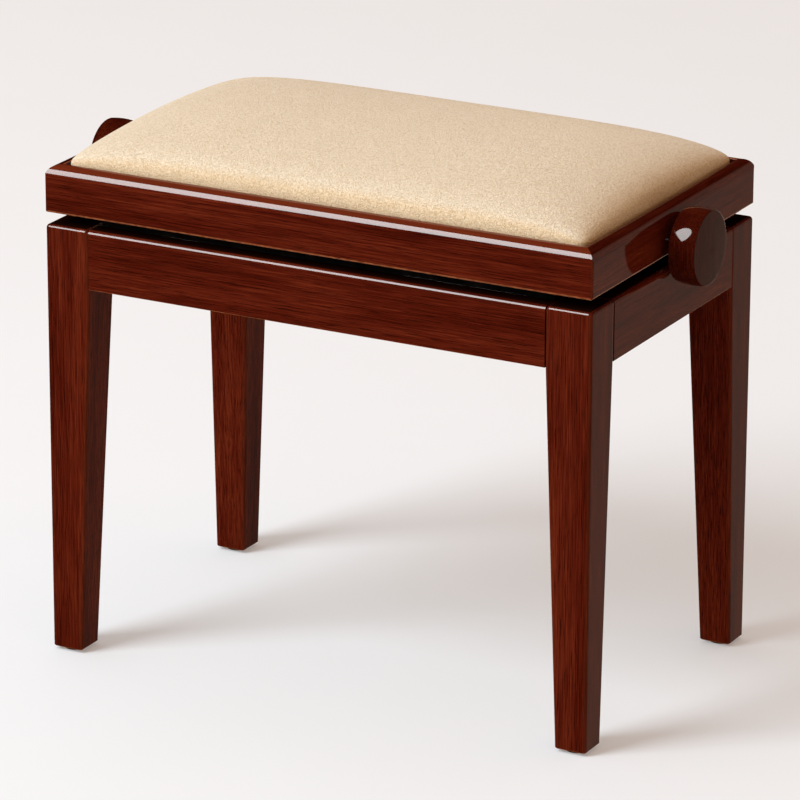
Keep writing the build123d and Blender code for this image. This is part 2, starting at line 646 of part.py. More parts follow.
def upper_pivot_clips():
    """Spring clips that keep the outer arms on their pins."""
    near = OUTER_ARM_Y - ARM_THICKNESS - ARM_GAP * 0.2
    far = near - CLIP_THICKNESS
    return group([ring_y(*UPPER_FIXED, s * near, s * far, CLIP_RADIUS, MID_PIN_RADIUS) for s in SIDES.values()])


def bearing_screws(end):
    """Two screws that hold a bearing plate to the side rail."""
    reach = BEARING_WIDTH / 2 - BEARING_SCREW_EDGE
    z = SPINDLE_Z + BEARING_SCREW_RISE
    x = end * (SEAT_INNER_X - BEARING_THICKNESS)
    return [wood_screw((x, s * reach, z), (end, 0, 0)) for s in (-1, 1)]


def bearing_plate(end):
    """The steel plate that carries a spindle bush, on the inside of a side rail."""
    x0, x1 = end * (SEAT_INNER_X - BEARING_THICKNESS), end * SEAT_INNER_X
    half = BEARING_WIDTH / 2
    plate = block((x0, x1), (-half, half), (UPPER_CHANNEL_FOOT, SHOULDER - BEARING_TOP_CLEARANCE))
    plate = fillet(plate.edges().filter_by(Axis.X), BEARING_CORNER)
    return less(plate, [rod_x(x0 - end, x1 + end, BEARING_BUSH_RADIUS), *bearing_screws(end)])


def bearing_bush(end):
    """A flanged nylon bush in the bearing plate."""
    face, back = end * (SEAT_INNER_X - BEARING_THICKNESS), end * SEAT_INNER_X
    body = rod_x(face, back, BEARING_BUSH_RADIUS)
    flange = rod_x(face - end * BEARING_FLANGE, face, BEARING_FLANGE_RADIUS)
    bore = rod_x(face - end * 2 * BEARING_FLANGE, back + end, SPINDLE_RADIUS + RUNNING_CLEARANCE)
    return (body + flange) - bore


# ---------------------------------------------------------------- spindle and knobs
KNOB_INNER_X = HALF_LENGTH + KNOB_STAND_OFF
SPINDLE_END_X = KNOB_INNER_X + KNOB_BORE_DEPTH


def spindle():
    """The steel spindle, with a thread over the trunnion's travel, drawn as grooves one pitch apart."""
    bar = rod_x(-SPINDLE_END_X, SPINDLE_END_X, SPINDLE_RADIUS)
    bar = chamfer(bar.edges().filter_by(GeomType.CIRCLE), ARRIS)
    start = FIXED_PIVOT_X + TOP_REACH - TRUNNION_BLOCK[0] / 2 - THREAD_MARGIN
    stop = FREE_PIVOT_X + TRUNNION_BLOCK[0] / 2 + THREAD_MARGIN
    core, half = SPINDLE_RADIUS - THREAD_DEPTH, THREAD_PITCH * 0.3
    groove = make_face(
        Polyline((-half, 0, SPINDLE_RADIUS), (half, 0, SPINDLE_RADIUS), (0, 0, core), close=True)
    )
    ring = revolve(groove, Axis.X)
    count = int((stop - start) / THREAD_PITCH)
    grooves = [Pos(start + i * THREAD_PITCH, 0, SPINDLE_Z) * ring for i in range(count + 1)]
    return less(bar, grooves + [set_screw(end) for end in ENDS.values()])


def set_screw(end):
    """The grub screw that locks a thrust collar on the spindle."""
    x = end * collar_middle()
    return rod((x, 0, SPINDLE_Z + SPINDLE_RADIUS - 1.0), (x, 0, SPINDLE_Z + COLLAR_RADIUS - 1.0), SET_SCREW_RADIUS)


def collar_middle():
    """Distance of a thrust collar's middle from the middle of the bench."""
    face = SEAT_INNER_X - BEARING_THICKNESS - BEARING_FLANGE
    return face - RUNNING_CLEARANCE - COLLAR_WIDTH / 2


def thrust_collar(end):
    """A steel collar inside the bearing that keeps the spindle from sliding."""
    x = end * collar_middle()
    half = COLLAR_WIDTH / 2
    body = rod_x(x - half, x + half, COLLAR_RADIUS)
    body = chamfer(body.edges().filter_by(GeomType.CIRCLE), ARRIS)
    mouth = rod((x, 0, SPINDLE_Z + SPINDLE_RADIUS - 1), (x, 0, SPINDLE_Z + COLLAR_RADIUS + 1), SET_SCREW_RADIUS)
    return less(body, [rod_x(x - 2 * half, x + 2 * half, SPINDLE_RADIUS), mouth])


def knob(end):
    """A turned wooden knob: a slightly barrelled side, a slightly domed face and a bore for the insert."""
    back, face, t = KNOB_BACK_RADIUS, KNOB_FACE_RADIUS, KNOB_THICKNESS
    belly = (KNOB_BELLY, KNOB_RADIUS)
    shoulder = t - KNOB_DOME
    corner = shoulder - KNOB_EDGE_ROUND
    slant = KNOB_EDGE_ROUND * (1 - math.sqrt(0.5))
    edge_mid = (shoulder - slant, face - slant)
    rim = face - KNOB_EDGE_ROUND
    dome_radius = (rim**2 + KNOB_DOME**2) / (2 * KNOB_DOME)
    dome_mid = (t - dome_radius + math.sqrt(dome_radius**2 - (rim / 2) ** 2), rim / 2)
    lines = [
        Line((0, 0), (0, back)),
        ThreePointArc((0, back), belly, (corner, face)),
        ThreePointArc((corner, face), edge_mid, (shoulder, rim)),
        ThreePointArc((shoulder, rim), dome_mid, (t, 0)),
        Line((t, 0), (0, 0)),
    ]
    body = revolve(make_face(Wire(lines)), Axis.X)
    body = body - rod((0, 0, 0), (KNOB_BORE_DEPTH, 0, 0), SPINDLE_RADIUS)
    body = body - rod((0, 0, 0), (INSERT_LENGTH, 0, 0), INSERT_RADIUS)
    return Pos(end * KNOB_INNER_X, 0, SPINDLE_Z) * (Rot(0, 0, 0 if end > 0 else 180) * body)


def knob_insert(end):
    """The brass bush glued into a knob and screwed on the spindle's end."""
    x0, x1 = end * KNOB_INNER_X, end * (KNOB_INNER_X + INSERT_LENGTH)
    return rod_x(x0, x1, INSERT_RADIUS) - rod_x(x0 - end, x1 + end, SPINDLE_RADIUS)


# ---------------------------------------------------------------- scissor arms
def arm_bar(start, stop, outward_y, side, holes):
    """A flat bar with round ends between two (x, z) pivots, less its holes, each (x, z, radius)."""
    (x0, z0), (x1, z1) = start, stop
    y0, y1 = side * outward_y, side * (outward_y - ARM_THICKNESS)
    angle = math.atan2(z1 - z0, x1 - x0)
    length = math.hypot(x1 - x0, z1 - z0)
    outline = Plane.XZ * SlotCenterToCenter(length, ARM_WIDTH)
    flat = extrude(outline, ARM_THICKNESS / 2, both=True)
    bar = Pos((x0 + x1) / 2, (y0 + y1) / 2, (z0 + z1) / 2) * (Rot(0, -math.degrees(angle), 0) * flat)
    bar = chamfer(bar.edges().group_by(Axis.Y)[0] + bar.edges().group_by(Axis.Y)[-1], 0.4)
    return less(bar, [rod_y(x, z, y0 + side, y1 - side, r) for x, z, r in holes])


LOWER_FIXED = (FIXED_PIVOT_X, LOWER_PIVOT_Z)
UPPER_FIXED = (FIXED_PIVOT_X, SPINDLE_Z)
LOWER_FREE = (FREE_PIVOT_X, LOWER_PIVOT_Z)
UPPER_FREE = (FREE_PIVOT_X, SPINDLE_Z)
MIDDLE = (MID_X, MID_Z)


def outer_arm(side):
    """Hangs from the upper channel's pin, slides along the lower channel. Its middle hole is the open pivot."""
    holes = [
        (*UPPER_FIXED, MID_PIN_RADIUS + RUNNING_CLEARANCE),
        (*MIDDLE, MID_PIN_RADIUS + OPEN_PIVOT_CLEARANCE),
        (*LOWER_FREE, ROD_RADIUS),
    ]
    return arm_bar(UPPER_FIXED, LOWER_FREE, OUTER_ARM_Y, side, holes)


def inner_arm(side):
    """Turns on the lower cross rod and carries the trunnion."""
    holes = [
        (*LOWER_FIXED, ROD_RADIUS),
        (*MIDDLE, MID_PIN_RADIUS),
        (*UPPER_FREE, ROD_RADIUS + RUNNING_CLEARANCE),
    ]
    return arm_bar(LOWER_FIXED, UPPER_FREE, INNER_ARM_Y, side, holes)


def mid_pins():
    """The two pins where the arms cross, riveted into the inner arms and loose in the outer arms."""
    pins = []
    for side in SIDES.values():
        outside = side * (OUTER_ARM_Y + ARM_GAP * 0.3)
        inside = side * (INNER_ARM_Y - ARM_THICKNESS)
        shank = rod_y(*MIDDLE, outside, inside, MID_PIN_RADIUS)
        rivet = rod_y(*MIDDLE, inside, inside - side * PIN_HEAD_HEIGHT, PIN_HEAD_RADIUS)
        pins.append(shank + rivet)
    return group(pins)


def cross_rod(x, z):
    """A rod from inside one lower channel to inside the other."""
    reach = FLANGE_Y + CHANNEL_THICKNESS + 8.0
    body = rod_y(x, z, -reach, reach, ROD_RADIUS)
    return chamfer(body.edges().filter_by(GeomType.CIRCLE), ARRIS / 2)


def ring_y(x, z, y0, y1, outside, inside):
    """A ring along Y."""
    return rod_y(x, z, y0, y1, outside) - rod_y(x, z, y0, y1, inside)


def inner_arm_spacers():
    """Tubes on the lower cross rod that keep the inner arms clear of the channels."""
    near, far = FLANGE_Y - RUNNING_CLEARANCE * 2, INNER_ARM_Y
    return group([ring_y(*LOWER_FIXED, s * near, s * far, CLIP_RADIUS, ROD_RADIUS) for s in SIDES.values()])


def rod_clips(x, z):
    """Spring clips on the ends of a cross rod, inside the channels."""
    near = FLANGE_Y + CHANNEL_THICKNESS + 3.0
    far = near + CLIP_THICKNESS
    return group([ring_y(x, z, s * near, s * far, CLIP_RADIUS, ROD_RADIUS) for s in SIDES.values()])


def slide_bushes(x, z):
    """Nylon sleeves on the ends of a rod, running in the channels' slots."""
    start, stop = FLANGE_Y - ARM_GAP * 0.5, FLANGE_Y + CHANNEL_THICKNESS + 3.0
    return group([ring_y(x, z, s * start, s * stop, SLIDE_BUSH_RADIUS, ROD_RADIUS) for s in SIDES.values()])


def trunnion():
    """The bar that the nut sits in, square between the inner arms and turned down to pass through them."""
    x, z = UPPER_FREE
    half = TRUNNION_SIZE / 2
    reach = INNER_ARM_Y - ARM_THICKNESS - ARM_GAP * 0.5
    bar = block((x - half, x + half), (-reach, reach), (z - half, z + half))
    end = FLANGE_Y + CHANNEL_THICKNESS + 8.0
    bar = bar + rod_y(x, z, -end, end, ROD_RADIUS)
    bx, by, bz = TRUNNION_BLOCK
    bar = bar + block((x - bx / 2, x + bx / 2), (-by / 2, by / 2), (z - bz / 2, z + bz / 2))
    return bar - rod_x(x - bx, x + bx, NUT_RADIUS)


def spindle_nut():
    """The brass nut pressed into the trunnion. The spindle passes it with the open pivot's clearance."""
    x, bx = UPPER_FREE[0], TRUNNION_BLOCK[0]
    body = rod_x(x - bx / 2, x + bx / 2, NUT_RADIUS)
    flange = rod_x(x + bx / 2, x + bx / 2 + NUT_FLANGE, NUT_FLANGE_RADIUS)
    return (body + flange) - rod_x(x - bx, x + bx, SPINDLE_RADIUS + OPEN_PIVOT_CLEARANCE)


# ---------------------------------------------------------------- the bench, node by node
def corners():
    """Each corner's name with its end and side."""
    return {f"{s}_{e}": (ENDS[e], SIDES[s]) for s in SIDES for e in ENDS}


def base_nodes():
    """Everything that stands on the floor."""
    nodes = {}
    for name, (end, side) in corners().items():
        nodes[f"leg_{name}"] = leg(end, side)
        nodes[f"corner_brace_{name}"] = corner_brace(end, side)
    long_apron = apron(HALF_DEPTH, HALF_LENGTH - LEG_WIDTH)
    side_apron = apron(HALF_LENGTH, HALF_DEPTH - LEG_WIDTH)
    turned = {
        "front": long_apron,
        "right": Rot(0, 0, 90) * side_apron,
        "back": Rot(0, 0, 180) * long_apron,
        "left": Rot(0, 0, -90) * side_apron,
    }
    screws = {name: brace_screws(end, side) for name, (end, side) in corners().items()}
    channel_screws = {name: lower_channel_screws(side) for name, side in SIDES.items()}
    for name in SIDES:
        cutters = [screws[corner][0] for corner in screws if corner.startswith(name)]
        nodes[f"apron_{name}"] = less(turned[name], cutters + channel_screws[name])
    for name in ENDS:
        cutters = [screws[corner][1] for corner in screws if corner.endswith(name)]
        nodes[f"apron_{name}"] = less(turned[name], cutters)
    for name, side in SIDES.items():
        nodes[f"lower_channel_{name}"] = lower_channel(side)
    nodes["lower_channel_screws"] = group([s for row in channel_screws.values() for s in row])
    nodes["corner_brace_screws"] = group([s for pair in screws.values() for s in pair])
    nodes["leg_bolts"] = group([leg_bolt(e, s) for e, s in corners().values()])
    sets = [leg_washer_and_nut(e, s) for e, s in corners().values()]
    nodes["leg_bolt_washers"] = group([washer for washer, _ in sets])
    nodes["leg_bolt_nuts"] = group([nut for _, nut in sets])
    nodes["foot_glides"] = group([glide(e, s) for e, s in corners().values()])
    return nodes


def seat_nodes():
    """Everything that rises with the seat and doesn't turn."""
    nodes = {f"seat_rail_{name}": rail for name, rail in seat_rails().items()}
    nodes["seat_corner_blocks"] = group([corner_block(e, s) for e, s in corners().values()])
    held = [block_screws(e, s) for e, s in corners().values()]
    nodes["corner_block_screws"] = group([s for a, b, _ in held for s in (a, b)])
    nodes["seat_board_screws"] = group([c for _, _, c in held])
    nodes["seat_board"] = seat_board()
    nodes["seat_foam"] = seat_foam()
    nodes["seat_cover"] = seat_cover()
    nodes["cover_staples"] = cover_staples()
    for name, side in SIDES.items():
        nodes[f"upper_channel_{name}"] = upper_channel(side)
    nodes["upper_channel_screws"] = group([s for side in SIDES.values() for s in upper_channel_screws(side)])
    nodes["upper_pivot_pins"] = group([upper_pivot_pin(side) for side in SIDES.values()])
    nodes["upper_pivot_clips"] = upper_pivot_clips()
    for name, end in ENDS.items():
        nodes[f"bearing_plate_{name}"] = bearing_plate(end)
        nodes[f"spindle_bush_{name}"] = bearing_bush(end)
    nodes["bearing_plate_screws"] = group([s for end in ENDS.values() for s in bearing_screws(end)])
    return nodes


def spindle_nodes():
    """What turns with the knobs."""
    nodes = {"spindle": spindle()}
    for name, end in ENDS.items():
        nodes[f"knob_{name}"] = knob(end)
    nodes["knob_inserts"] = group([knob_insert(end) for end in ENDS.values()])
    nodes["thrust_collars"] = group([thrust_collar(end) for end in ENDS.values()])
    nodes["collar_set_screws"] = group([set_screw(end) for end in ENDS.values()])
    return nodes


def scissor_nodes():
    """The two pairs of arms and what they carry."""
    nodes = {}
    for name, side in SIDES.items():
        nodes[f"outer_arm_{name}"] = outer_arm(side)
        nodes[f"inner_arm_{name}"] = inner_arm(side)
    nodes["slide_rod"] = cross_rod(*LOWER_FREE)
    nodes["slide_rod_bushes"] = slide_bushes(*LOWER_FREE)
    nodes["pivot_rod"] = cross_rod(*LOWER_FIXED)
    nodes["pivot_rod_spacers"] = inner_arm_spacers()
    nodes["pivot_rod_clips"] = rod_clips(*LOWER_FIXED)
    nodes["scissor_mid_pins"] = mid_pins()
    nodes["trunnion_bar"] = trunnion()
    nodes["trunnion_bushes"] = slide_bushes(*UPPER_FREE)
    nodes["spindle_nut"] = spindle_nut()
    return nodes


def main():
    os.makedirs("parts", exist_ok=True)
    nodes = {**base_nodes(), **seat_nodes(), **spindle_nodes(), **scissor_nodes()}
    for name, shape in nodes.items():
        export_step(shape, f"parts/{name}.step")
    print(len(nodes), "nodes")
    print("rest angle", round(math.degrees(REST_ANGLE), 3), "top angle", round(math.degrees(TOP_ANGLE), 3))
    print("reach at rest", round(REST_REACH, 2), "and at the top", round(TOP_REACH, 2))
    print("pivots", LOWER_FIXED, UPPER_FIXED, LOWER_FREE, UPPER_FREE)


main()
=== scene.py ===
"""The looks of an adjustable piano bench: lacquered mahogany, a velour cushion and a black enamelled lift."""

import json
import math

import bmesh
import bpy
import numpy as np
from mathutils import Matrix, Vector


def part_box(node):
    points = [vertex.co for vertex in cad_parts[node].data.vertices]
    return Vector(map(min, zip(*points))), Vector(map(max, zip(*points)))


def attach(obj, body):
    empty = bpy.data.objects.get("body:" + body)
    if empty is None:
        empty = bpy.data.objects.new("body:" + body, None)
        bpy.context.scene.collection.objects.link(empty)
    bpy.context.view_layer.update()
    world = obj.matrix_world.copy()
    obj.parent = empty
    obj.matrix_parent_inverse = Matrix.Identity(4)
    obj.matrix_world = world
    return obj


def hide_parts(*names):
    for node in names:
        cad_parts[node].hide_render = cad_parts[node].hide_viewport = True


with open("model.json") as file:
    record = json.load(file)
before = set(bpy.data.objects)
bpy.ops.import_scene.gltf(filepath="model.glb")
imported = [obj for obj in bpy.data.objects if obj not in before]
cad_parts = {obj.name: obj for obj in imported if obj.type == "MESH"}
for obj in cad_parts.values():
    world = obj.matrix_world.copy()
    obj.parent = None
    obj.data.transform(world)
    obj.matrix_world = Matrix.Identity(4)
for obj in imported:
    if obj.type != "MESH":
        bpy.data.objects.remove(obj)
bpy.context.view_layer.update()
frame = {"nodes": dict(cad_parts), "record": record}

# ---------------------------------------------------------------- sizes and places, in metres
MM = 0.001
X, Y, Z = 0, 1, 2

cover_low, cover_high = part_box("seat_cover")
spindle_low, spindle_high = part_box("spindle")

SEAT_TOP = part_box("seat_rail_front")[1][Z]
BOARD_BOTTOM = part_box("seat_board")[0][Z]
NUT_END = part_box("trunnion_bar")[1][X]
CROWN = cover_high[Z] - SEAT_TOP
AXIS_Z = (spindle_low[Z] + spindle_high[Z]) / 2

# camera: a long lens from the front, turned to the right-hand end
VIEW_AZIMUTH = math.radians(28.15)
VIEW_ELEVATION = math.radians(18.81)
VIEW_ROLL = math.radians(0.19)
VIEW_DISTANCE = 4.892
VIEW_LENS = 240.4
VIEW_AIM_HEIGHT = 0.2386

# studio: lights and a floor, all aimed at the bench's middle
STUDIO_AIM = Vector((0, 0, 0.3))
KEY_AZIMUTH, KEY_ELEVATION, KEY_DISTANCE = math.radians(-36), math.radians(40), 7.2
KEY_WIDTH, KEY_HEIGHT, KEY_RADIANCE = 3.4, 5.4, 10.6
SKY_LEFT, SKY_RIGHT = 0.84, 0.34
SKY_LOW, SKY_HIGH = 0.8, 1.35
SKY_COOL, SKY_WARM = (1.0, 1.0, 1.0, 1), (1.0, 0.46, 0.17, 1)
GLOSS_GLOW, GLOSS_EDGE = 0.18, 1.1
GLOSS_TONE = (1.0, 0.91, 0.72, 1)
GLOW_TOWARDS, GLOW_SPREAD, GLOW_TOP = (0.47, 0.88, 0), (0.55, 0.8), (0.4, 0.3)
EDGE_TOWARDS, EDGE_SPREAD = (-0.2, 0.93, -0.32), (0.92, 0.985)
FLOOR_GLOW = (0.28, 0.25, 0.237)
FLOOR_COLOUR = (0.535, 0.615, 0.675)
FLOOR_RADIUS, FLOOR_SIDES = 40.0, 64

# cushion
END_POWER, SIDE_POWER = 5.0, 1.5  # how early the crown starts to fall, along and across
END_ROUND, SIDE_ROUND = 0.42, 0.29  # how full the edges are, along and across
RIDGE_SOFTNESS = 0.1
CORNER_RADIUS = 11 * MM
EDGE_GAP = 0.9 * MM  # cloth drawn in from its place in the rebate
CROWN_SINK = 1 * MM  # the crown starts this far below the rim
TURN_UNDER = 25 * MM
CUSHION_ROWS, CUSHION_COLUMNS = 96, 150

# spindle thread
SPINDLE_RADIUS = (spindle_high[Z] - spindle_low[Z]) / 2
THREAD_PITCH = 4 * MM
THREAD_DEPTH = 1 * MM
THREAD_LENGTH = 82 * MM
THREAD_PAST_NUT = 20 * MM
THREAD_SIDES, STEPS_PER_PITCH = 40, 12
FLANK_SLOPE, FLANK_START = 3.2, 0.5  # of the thread's triangle wave, before it is cut flat
END_CHAMFER = 1 * MM


# ---------------------------------------------------------------- mesh helpers
def make_piece(name, vertices, faces, material):
    """A smooth object at the origin with the given vertices and quads."""
    mesh = bpy.data.meshes.new(name)
    mesh.from_pydata([tuple(v) for v in vertices], [], [tuple(int(i) for i in f) for f in faces])
    mesh.validate()
    mesh.polygons.foreach_set("use_smooth", [True] * len(mesh.polygons))
    mesh.materials.append(material)
    piece = bpy.data.objects.new(name, mesh)
    bpy.context.scene.collection.objects.link(piece)
    return piece


def grid_quads(rows, columns, start=0, flip=False):
    """The quads of a grid of rows by columns vertices, numbered row by row."""
    i, j = np.meshgrid(np.arange(rows - 1), np.arange(columns - 1), indexing="ij")
    a = (i * columns + j).ravel() + start
    quads = np.stack([a, a + 1, a + columns + 1, a + columns], axis=1)
    return quads[:, ::-1] if flip else quads


def ring_quads(first, second):
    """The quads between two closed rings of vertex numbers."""
    return np.stack([first, np.roll(first, -1), np.roll(second, -1), second], axis=1)


# ---------------------------------------------------------------- material helpers
class Nodes:
    """A material's node tree, with short calls to add and join nodes."""

    def __init__(self, name):
        self.material = bpy.data.materials.new(name)
        self.material.use_nodes = True
        self.tree = self.material.node_tree
        self.tree.nodes.clear()
        self.surface = self.add("ShaderNodeBsdfPrincipled")
        output = self.add("ShaderNodeOutputMaterial")
        self.join(self.surface, "BSDF", output, "Surface")
        self.place = self.add("ShaderNodeTexCoord")

    def add(self, kind, **settings):
        """A node with its attributes, and its sockets by name."""
        node = self.tree.nodes.new(kind)
        for key, value in settings.items():
            if hasattr(node, key):
                setattr(node, key, value)
            else:
                node.inputs[key.replace("_", " ").title()].default_value = value
        return node

    def out(self, source, output):
        """A node's output by name; a mix node has several of one name, and only one in use."""
        if source.bl_idname == "ShaderNodeMix":
            return next(s for s in source.outputs if s.enabled)
        return source.outputs[output]

    def join(self, source, output, target, socket):
        """A link from an output to a socket."""
        self.tree.links.new(self.out(source, output), target.inputs[socket])

    def fix(self, **values):
        """Constant values on the surface shader, by socket name in lower case."""
        names = {s.name.lower().replace(" ", "_"): s for s in self.surface.inputs}
        for key, value in values.items():
            names[key].default_value = value

    def stretched(self, scale, shift=(0, 0, 0)):
        """Object coordinates with a scale for each axis."""
        mapping = self.add("ShaderNodeMapping")
        mapping.inputs["Scale"].default_value = scale
        mapping.inputs["Location"].default_value = shift
        self.join(self.place, "Object", mapping, "Vector")
        return mapping

    def noise(self, scale, shift=(0, 0, 0), detail=3.0, roughness=0.5, distortion=0.0):
        """Noise whose scale is the number of features per metre along each axis."""
        texture = self.add("ShaderNodeTexNoise")
        texture.inputs["Scale"].default_value = 1.0
        texture.inputs["Detail"].default_value = detail
        texture.inputs["Roughness"].default_value = roughness
        texture.inputs["Distortion"].default_value = distortion
        self.join(self.stretched(scale, shift), "Vector", texture, "Vector")
        return texture

    def ramp(self, source, output, stops):
        """A colour ramp from (position, colour) stops."""
        ramp = self.add("ShaderNodeValToRGB")
        elements = ramp.color_ramp.elements
        while len(elements) < len(stops):
            elements.new(0.5)
        for element, (position, colour) in zip(elements, stops):
            element.position = position
            element.color = (*colour, 1) if len(colour) == 3 else colour
        self.join(source, output, ramp, "Fac")
        return ramp

    def mix(self, first, second, factor, blend="MIX"):
        """Two colours mixed by a factor, each a number, a colour or a (node, output) pair."""
        node = self.add("ShaderNodeMix", data_type="RGBA", blend_type=blend)
        sockets = [s for s in node.inputs if s.enabled]
        for socket, value in zip(sockets, (factor, first, second)):
            if isinstance(value, tuple) and isinstance(value[0], bpy.types.Node):
                self.tree.links.new(self.out(*value), socket)
            elif isinstance(value, tuple):
                socket.default_value = (*value, 1)
            else:
                socket.default_value = value
        return node

    def pair(self, operation, first, first_output, second, second_output):
        """Two values put together by a math operation."""
        node = self.add("ShaderNodeMath", operation=operation)
        self.join(first, first_output, node, 0)
        self.join(second, second_output, node, 1)
        return node

    def product(self, *values):
        """Two values multiplied."""
        return self.pair("MULTIPLY", *values)

    def larger(self, *values):
        """The larger of two values."""
        return self.pair("MAXIMUM", *values)

    def direction(self):
        """The surface's own direction, split into its three shares."""
        node = self.add("ShaderNodeSeparateXYZ")
        self.join(self.place, "Normal", node, "Vector")
        return node

    def to_range(self, source, output, low, high, start=0.0, stop=1.0):
        """A value taken from one range to another."""
        node = self.add("ShaderNodeMapRange")
        for name, value in (("From Min", start), ("From Max", stop), ("To Min", low), ("To Max", high)):
            node.inputs[name].default_value = value
        self.join(source, output, node, "Value")
        return node

    def bump(self, source, output, height, strength=1.0, normal=None):
        """A bump of a height in metres, on top of an earlier one."""
        node = self.add("ShaderNodeBump")
        node.inputs["Distance"].default_value = height
        node.inputs["Strength"].default_value = strength
        self.join(source, output, node, "Height")
        if normal is not None:
            self.join(normal, "Normal", node, "Normal")
        return node


def along(axis, with_grain, across):
    """A scale for each axis: few features along the grain, many across it."""
    return tuple(with_grain if i == axis else across for i in range(3))


# ---------------------------------------------------------------- materials
DARK_GRAIN = (0.038, 0.0031, 0.0010)
RED_GRAIN = (0.073, 0.0078, 0.0027)
LIGHT_GRAIN = (0.132, 0.0200, 0.0068)
PORE_COLOUR = (0.016, 0.002, 0.0008)
# edge colour: partly wear, partly a painted highlight on the edge rounds
WORN_AND_LIT_EDGE = (0.36, 0.115, 0.042)
# painted shade: undersides and covered tops painted nearly black
SHADED_HIDDEN_WOOD = (0.010, 0.0025, 0.0012)
PAINTED_TOP_TONE = {X: (0.16, 0.030, 0.010), Y: (0.030, 0.004, 0.0015)}  # painted light on rails along X, painted shade on rails along Y, by the way the rail runs
# share of the painted top light and shade
TOP_TONE_SHARE = 0.5
INNER_SHADED_GLOSS = 0.45  # share of the gloss on faces turned into the bench, lowered as painted shade in what they reflect
KNOB_DEPTH, KNOB_GLOSS = 0.55, 0.75


def lacquered_mahogany(name, axis, shift, depth=1.0, coat=1.0, edges=None):
    """Red-brown mahogany under a clear gloss: soft figure, fine streaks and short dark pores along it.

    With edges, the inward direction and whether the tops are covered, the lacquer gets wear and painted
    highlights on its edges, and hidden faces get painted shade and no gloss.
    """
    n = Nodes(name)
    figure = n.noise(along(axis, 3.2, 55), shift, detail=4, roughness=0.55, distortion=0.4)
    streaks = n.noise(along(axis, 15, 800), shift, detail=4, roughness=0.7)
    pores = n.noise(along(axis, 45, 1700), shift, detail=2, roughness=0.5)
    both = n.mix((figure, "Fac"), (streaks, "Fac"), 0.62)
    stops = [(0.38, DARK_GRAIN), (0.5, RED_GRAIN), (0.63, LIGHT_GRAIN)]
    tone = n.ramp(both, "Result", [(position, tuple(c * depth for c in colour)) for position, colour in stops])
    pore_mask = n.to_range(pores, "Fac", 0.0, 0.75, 0.54, 0.68)
    coloured = n.mix((tone, "Color"), PORE_COLOUR, (pore_mask, "Result"))

    # worn edges with painted highlights, painted light and shade on tops, painted shade on hidden faces
    if edges:
        coloured, gloss = wear_and_painted_light(n, coloured, shift, *edges)
        n.join(gloss, "Value", n.surface, "Coat Weight")
    else:
        n.fix(coat_weight=coat)
    n.join(coloured, "Result", n.surface, "Base Color")
    clouds = n.noise((38, 38, 38), shift, detail=4)
    rough = n.to_range(clouds, "Fac", 0.34, 0.48, 0.35, 0.65)
    n.join(rough, "Result", n.surface, "Roughness")
    ripple = n.bump(n.noise(along(axis, 14, 300), shift, detail=2), "Fac", 0.000025)
    pitted = n.bump(pores, "Fac", 0.00002, normal=ripple)
    n.join(pitted, "Normal", n.surface, "Normal")
    n.fix(specular_ior_level=0.0, coat_roughness=0.06, coat_ior=1.55)
    return n.material


